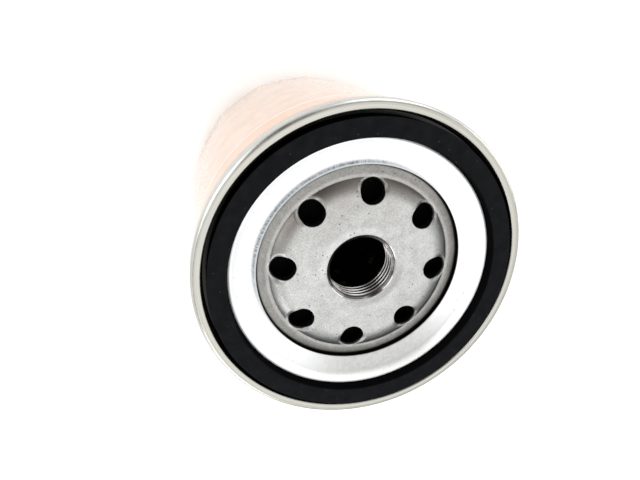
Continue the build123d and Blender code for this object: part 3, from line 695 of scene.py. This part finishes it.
# ------------------------------------------------------------------ base plate
hole_at = [(INLET_PCR * math.cos(a), INLET_PCR * math.sin(a)) for a in np.arange(INLETS) * 2 * math.pi / INLETS]
pad_at = [(PAD_PCR * math.cos(a), PAD_PCR * math.sin(a)) for a in np.arange(INLETS) * 2 * math.pi / INLETS]
SHAPE = path(
    [
        (12.0, CENTRE_Z), (24.33, CENTRE_Z), (26.6, RING_Z), (29.9, RING_Z - 0.1), (31.8, RING_Z - 1.2),
        (33.6, RING_Z - 1.2), (39.6, 91.6), (44.4, 91.6),
    ],
    [8.2, 0.12, 1.4, 0.8, 1.5, 1.2],
    step=4.0,
    run=0.5,
)
LOW = path(
    [
        (12.0, CENTRE_Z - PLATE_T), (23.46, CENTRE_Z - PLATE_T), (25.73, RING_Z - PLATE_T),
        (27.8, RING_Z - PLATE_T), (29.9, RING_Z - 1.2 - PLATE_T), (34.8, RING_Z - 1.2 - PLATE_T),
        (40.4, 91.6 - PLATE_T), (44.4, 91.6 - PLATE_T),
    ],
    [5.7, 1.0, 1.0, 1.5, 2.0, 2.0],
    step=6.0,
    run=0.8,
)


def hole_distance(x, y, at):
    d = np.full(x.shape, 1e9)
    out = np.zeros(x.shape)
    for cx, cy in at:
        dx, dy = x - cx, y - cy
        h = np.hypot(dx, dy)
        nearer = h < d
        d = np.where(nearer, h, d)
        away = (dx * cx + dy * cy) / math.hypot(cx, cy) / np.maximum(h, 1e-9)
        out = np.where(nearer, away, out)
    return d, out


def edge_round(away):
    """Rounding of an inlet's top edge: larger where the punch dragged the metal, on the outer side."""
    return 0.16 + 0.50 * np.clip(away, 0, 1) ** 2


def plate_top(x, y, rounded=True):
    r = np.hypot(x, y)
    z = np.interp(r, SHAPE[:, 0], SHAPE[:, 1])
    z = z - 0.24 * (1 - smooth(10.4, 15.5, r))
    pad, _ = hole_distance(x, y, pad_at)
    level = CENTRE_Z - (CENTRE_Z - RING_Z) * smooth(21.6, 25.7, r)
    w = smooth(PAD_R + 0.75, PAD_R - 1.05, pad)
    z = np.where(z > level, z + (level - z) * w, z)
    if rounded:
        d, away = hole_distance(x, y, hole_at)
        e = edge_round(away)
        into = np.clip(INLET_R + e - d, 0, e)
        z = z - (e - np.sqrt(np.maximum(e * e - into * into, 0)))
    return z


def dents(x, y, seed, size, wave):
    g = np.random.default_rng(seed)
    total = np.zeros_like(x)
    for _ in range(26):
        a = g.uniform(0, 2 * math.pi)
        k = 2 * math.pi / (wave * g.uniform(0.6, 1.8))
        total += np.cos(k * (x * math.cos(a) + y * math.sin(a)) + g.uniform(0, 2 * math.pi))
    return size * total / math.sqrt(26)


def ring_points(radius, count, cx=0.0, cy=0.0, turn=0.0):
    a = np.arange(count) * 2 * math.pi / count + turn
    return np.stack([cx + radius * np.cos(a), cy + radius * np.sin(a)], 1)


def triangulate(loops, free, inner_r):
    """Delaunay triangles of the plate's plan: the loops stay as edges, and their insides are left out."""
    points = np.vstack(loops + [free])
    edges, at, spans = [], 0, []
    for loop in loops:
        n = len(loop)
        edges += [(at + i, at + (i + 1) % n) for i in range(n)]
        spans.append((at, n))
        at += n
    vs, _, fs, origin, _, _ = geometry.delaunay_2d_cdt([Vector(p) for p in points], edges, [], 0, 1e-6)
    new = np.array([v[:] for v in vs])
    where = np.zeros(len(points), int)
    for i, old in enumerate(origin):
        for o in old:
            where[o] = i
    tri = np.array([f[:] for f in fs if len(f) == 3])
    c = new[tri].mean(1)
    keep = np.hypot(c[:, 0], c[:, 1]) > inner_r * math.cos(math.pi / 360) - 1e-3
    d, _ = hole_distance(c[:, 0], c[:, 1], hole_at)
    keep &= d > INLET_R * math.cos(math.pi / HOLE_N) - 1e-4
    tri = tri[keep]
    a, b, c = new[tri[:, 0]], new[tri[:, 1]], new[tri[:, 2]]
    area = (b[:, 0] - a[:, 0]) * (c[:, 1] - a[:, 1]) - (b[:, 1] - a[:, 1]) * (c[:, 0] - a[:, 0])
    tri[area < 0] = tri[area < 0][:, ::-1]
    return new, tri[np.abs(area) > 1e-9], [where[s: s + n] for s, n in spans]


HOLE_N = 84
NCOL = 360
TOP_IN, LOW_IN = 11.2, 13.4
loops = [ring_points(44.4, NCOL), ring_points(TOP_IN, NCOL)]
loops += [ring_points(INLET_R, HOLE_N, *c) for c in hole_at]
free = []
for c in hole_at:
    for k, d in enumerate((0.05, 0.12, 0.2, 0.3, 0.42, 0.56, 0.72, 0.9)):
        free.append(ring_points(INLET_R + d, HOLE_N, *c, turn=(k % 2) * math.pi / HOLE_N))
for c in pad_at:
    for k, d in enumerate((-0.2, 0.0, 0.15, 0.3, 0.45, 0.6, 0.75, 0.95)):
        ring = ring_points(PAD_R + d, 108, *c, turn=(k % 2) * math.pi / 108)
        d2, _ = hole_distance(ring[:, 0], ring[:, 1], hole_at)
        r = np.hypot(ring[:, 0], ring[:, 1])
        free.append(ring[(d2 > INLET_R + 0.98) & (r < 26.8)])
radii = np.concatenate([
    np.arange(11.6, 21.5, 0.5), np.arange(21.6, 26.2, 0.32), [26.2, 26.36, 26.48, 26.56, 26.64, 26.72, 26.84, 27.0],
    np.arange(27.3, 34.0, 0.4), np.arange(34.6, 44.2, 1.2),
])
for k, radius in enumerate(radii):
    count = NCOL if radius < 34 else 240
    ring = ring_points(radius, count, turn=(k % 2) * math.pi / count)
    d, _ = hole_distance(ring[:, 0], ring[:, 1], hole_at)
    pad, _ = hole_distance(ring[:, 0], ring[:, 1], pad_at)
    free.append(ring[(d > INLET_R + 1.02) & ((pad < PAD_R - 0.3) | (pad > PAD_R + 1.05) | (radius > 26.8))])
plan, tri, span = triangulate(loops, np.vstack(free), TOP_IN)
px, py = plan[:, 0], plan[:, 1]
pz = plate_top(px, py)
fade = smooth(11.3, 13.0, np.hypot(px, py)) * smooth(40.0, 36.0, np.hypot(px, py))
pz = pz + fade * (dents(px, py, 41, 0.005, 3.2) + dents(px, py, 42, 0.014, 11.0))
verts = [np.stack([px, py, pz], 1)]
faces = [tuple(t) for t in tri.tolist()]
count = len(plan)

low_loops = [ring_points(44.4, NCOL), ring_points(LOW_IN, NCOL)] + [ring_points(INLET_R, HOLE_N, *c) for c in hole_at]
low_free = []
for k, radius in enumerate(np.concatenate([np.arange(14.4, 23.0, 1.2), np.arange(23.2, 36.0, 0.7), np.arange(36.5, 44.0, 1.5)])):
    ring = ring_points(radius, 240, turn=(k % 2) * math.pi / 240)
    d, _ = hole_distance(ring[:, 0], ring[:, 1], hole_at)
    low_free.append(ring[d > INLET_R + 0.5])
lplan, ltri, lspan = triangulate(low_loops, np.vstack(low_free), LOW_IN)
lz = np.interp(np.hypot(lplan[:, 0], lplan[:, 1]), LOW[:, 0], LOW[:, 1])
verts.append(np.stack([lplan[:, 0], lplan[:, 1], lz], 1))
faces += [tuple(t[::-1]) for t in (ltri + count).tolist()]
base = count
count += len(lplan)


def stitch(a, b):
    n = len(a)
    for i in range(n):
        k = (i + 1) % n
        faces.append((int(a[i]), int(a[k]), int(b[k]), int(b[i])))


def wall(top, bottom, levels, sign):
    """Quads from one loop down to the other, through rows at shares of the drop."""
    global count
    points = np.vstack(verts)
    a, b = points[top], points[bottom]
    before = top
    for s in levels:
        verts.append(a + (b - a) * s)
        now = np.arange(count, count + len(a))
        count += len(a)
        stitch(*((before, now) if sign > 0 else (now, before)))
        before = now
    stitch(*((before, bottom) if sign > 0 else (bottom, before)))


wall(span[0], lspan[0] + base, (0.08, 0.5, 0.92), -1)
for k in range(INLETS):
    wall(span[2 + k], lspan[2 + k] + base, (0.04, 0.12, 0.3, 0.6, 0.9), 1)

# the collar: mouth, thread, end and outside
theta = np.arange(NCOL) * 2 * math.pi / NCOL
mouth = path([(TOP_IN, 0), (10.42, -0.02), (THREAD_MINOR, -1.15)], [0.55], step=5.0, run=0.14)
z_in = plate_top(np.array([TOP_IN]), np.array([0.0]), rounded=False)[0]
rows_r, rows_z = [], []
for q in mouth[1:]:
    rows_r.append(np.full(NCOL, q[0]))
    rows_z.append(np.full(NCOL, z_in + q[1]))
z_start = z_in - 1.15


def thread_depth(z):
    """Depth of the right-hand groove, at each angle for a height."""
    phase = ((z - COLLAR_BOTTOM) / PITCH - theta / (2 * math.pi) + 0.589) % 1.0
    h = np.abs(phase - 0.5) * PITCH
    depth = np.clip((0.5625 - h) / (0.5625 - 0.094), 0, 1)
    return (THREAD_MAJOR - THREAD_MINOR) * depth * depth * (3 - 2 * depth) * 0.55 + (THREAD_MAJOR - THREAD_MINOR) * depth * 0.45


for i in range(len(rows_r)):
    rows_r[i] = np.maximum(rows_r[i], THREAD_MINOR + thread_depth(rows_z[i][0]) * (rows_r[i] < 10.1))
for z in np.arange(z_start - 0.06, COLLAR_BOTTOM - 1e-6, -0.065):
    chamfer = THREAD_MINOR + max(0.0, COLLAR_BOTTOM + 0.7 - z)
    rows_r.append(np.maximum(THREAD_MINOR + thread_depth(z), chamfer))
    rows_z.append(np.full(NCOL, z))
tail = path([(10.1, COLLAR_BOTTOM), (COLLAR_R, COLLAR_BOTTOM), (COLLAR_R, CENTRE_Z - PLATE_T), (LOW_IN, CENTRE_Z - PLATE_T)], [0.4, 0.8], step=15.0, run=0.7)
for q in tail[:-1]:
    rows_r.append(np.full(NCOL, q[0]))
    rows_z.append(np.full(NCOL, q[1]))
grid = np.concatenate([np.stack([r * np.cos(theta), r * np.sin(theta), z], 1) for r, z in zip(rows_r, rows_z)])
first = count
verts.append(grid)
count += len(grid)
faces += [f[::-1] for f in grid_faces(len(rows_r), NCOL, first)][::1]
stitch(np.arange(first, first + NCOL), span[1])
last = first + (len(rows_r) - 1) * NCOL
stitch(lspan[1] + base, np.arange(last, last + NCOL))
plate = new_mesh("plate_pressing", np.vstack(verts), faces, M_PLATE, "housing", ["base_plate"])

# ------------------------------------------- springs and web, as free copies of their nodes
def stand_in(node, name):
    """A free copy of a node's shape, which stands for it."""
    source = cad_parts[node]
    mesh = source.data.copy()
    mesh.transform(source.matrix_world)
    obj = bpy.data.objects.new(name, mesh)
    scene_root.objects.link(obj)
    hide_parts(node)
    return obj


scene_root = bpy.context.scene.collection
support = stand_in("support_spring", "support_coil")
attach(support, "housing")
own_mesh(support)
relief = stand_in("bypass_spring", "bypass_coil")
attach(relief, "element")
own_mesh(relief)
web = stand_in("drainback_web", "drainback_skirt")
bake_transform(web)

# ------------------------------------------------------------- camera and light
scene = bpy.context.scene
scene.view_settings.view_transform = "Standard"
scene.view_settings.look = "None"
scene.view_settings.exposure = 0.0
scene.view_settings.gamma = 1.0

cam = bpy.data.cameras.new("cam")
cam.sensor_width = 36.0
cam.lens = 472.0 * 36.0 / 640.0
cam.clip_start, cam.clip_end = 0.01, 20.0
eye = bpy.data.objects.new("cam", cam)
right = Vector((-0.756653317, 0.612725775, 0.228129090))
up = Vector((-0.648792307, -0.660479112, -0.377936350))
back = Vector((-0.080896844, -0.433975192, 0.897285480))
eye.matrix_world = Matrix((
    (right.x, up.x, back.x, -0.007155961708),
    (right.y, up.y, back.y, -0.071585834929),
    (right.z, up.z, back.z, 0.207350269362),
    (0, 0, 0, 1),
))
scene.collection.objects.link(eye)
scene.camera = eye

world = bpy.data.worlds.new("room")
scene.world = world
world.use_nodes = True
nt = world.node_tree
nt.nodes.clear()
wout = nt.nodes.new("ShaderNodeOutputWorld")
bg = nt.nodes.new("ShaderNodeBackground")
nt.links.new(bg.outputs[0], wout.inputs[0])
geo = nt.nodes.new("ShaderNodeTexCoord")
norm = nt.nodes.new("ShaderNodeVectorMath"); norm.operation = "NORMALIZE"
nt.links.new(geo.outputs["Generated"], norm.inputs[0])


def lobe(direction, inner, outer):
    """1 within inner degrees of a direction, 0 beyond outer degrees."""
    d = Vector(direction).normalized()
    dot = nt.nodes.new("ShaderNodeVectorMath"); dot.operation = "DOT_PRODUCT"
    nt.links.new(norm.outputs[0], dot.inputs[0])
    dot.inputs[1].default_value = d
    mr = nt.nodes.new("ShaderNodeMapRange")
    mr.interpolation_type = "SMOOTHSTEP"
    nt.links.new(dot.outputs["Value"], mr.inputs["Value"])
    mr.inputs["From Min"].default_value = math.cos(math.radians(outer))
    mr.inputs["From Max"].default_value = math.cos(math.radians(inner))
    return mr.outputs[0]


def blend_colour(fac, a, b):
    n = nt.nodes.new("ShaderNodeMix"); n.data_type = "RGBA"
    nt.links.new(fac, n.inputs[0])
    for s, c in ((6, a), (7, b)):
        if isinstance(c, bpy.types.NodeSocket):
            nt.links.new(c, n.inputs[s])
        else:
            n.inputs[s].default_value = (*c, 1)
    return n.outputs[2]


def towards(x, y, z):
    return Vector((x, y, z)).normalized()


# a pale tent: brightest where flat metal mirrors it to the camera, cooler and
# lower on the far side, and dim where the camera stands
sky = blend_colour(lobe(towards(0.10, 0.90, 0.40), 6, 34), (1.22, 1.22, 1.20), (0.84, 0.86, 0.88))
sky = blend_colour(lobe(towards(0.08, 0.434, 0.897), 12, 30), sky, (1.75, 1.76, 1.78))
sky = blend_colour(lobe(towards(-0.12, -0.82, 0.56), 12, 30), sky, (0.16, 0.145, 0.13))
sky = blend_colour(lobe(back, 8, 24), sky, (0.55, 0.535, 0.51))
nt.links.new(sky, bg.inputs["Color"])
bg.inputs["Strength"].default_value = 1.15


def area(name, at, look, size, radiance, colour=(1, 1, 1)):
    light = bpy.data.lights.new(name, "AREA")
    light.shape = "DISK"
    light.size = size
    light.energy = 1.15 * radiance * math.pi * math.pi * size * size / 4
    light.color = colour
    o = bpy.data.objects.new(name, light)
    o.location = at
    o.rotation_euler = (Vector(look) - Vector(at)).to_track_quat("-Z", "Y").to_euler()
    scene.collection.objects.link(o)
    return o


area("tent_left", (0.55, 0.25, 0.35), (0, 0, 0.05), 0.4, 2.5)
area("tent_right", (-0.60, 0.30, 0.25), (0, 0, 0.05), 0.4, 2.0)
area("tent_low", (0.22, -0.62, 0.14), (0.0, -0.04, 0.03), 0.5, 1.25)
area("tent_fill", (0.30, -0.52, 0.50), (0.0, -0.10, 0.0), 0.5, 1.8)
area("tent_side", (-0.62, -0.30, 0.16), (0.0, -0.02, 0.03), 0.5, 1.8)

floor_mesh = bpy.data.meshes.new("floor")
n = 4
half = 2.2
fv = [(-half + 2 * half * i / n, -half + 2 * half * j / n, 0.0) for j in range(n + 1) for i in range(n + 1)]
ff = [(j * (n + 1) + i, j * (n + 1) + i + 1, (j + 1) * (n + 1) + i + 1, (j + 1) * (n + 1) + i) for j in range(n) for i in range(n)]
floor_mesh.from_pydata(fv, [], ff)
fm = bpy.data.materials.new("floor_white")
fm.use_nodes = True
fb = fm.node_tree.nodes["Principled BSDF"]
fb.inputs["Base Color"].default_value = (0.84, 0.84, 0.84, 1)
fb.inputs["Roughness"].default_value = 0.9
floor_mesh.materials.append(fm)
floor = bpy.data.objects.new("floor", floor_mesh)
scene.collection.objects.link(floor)
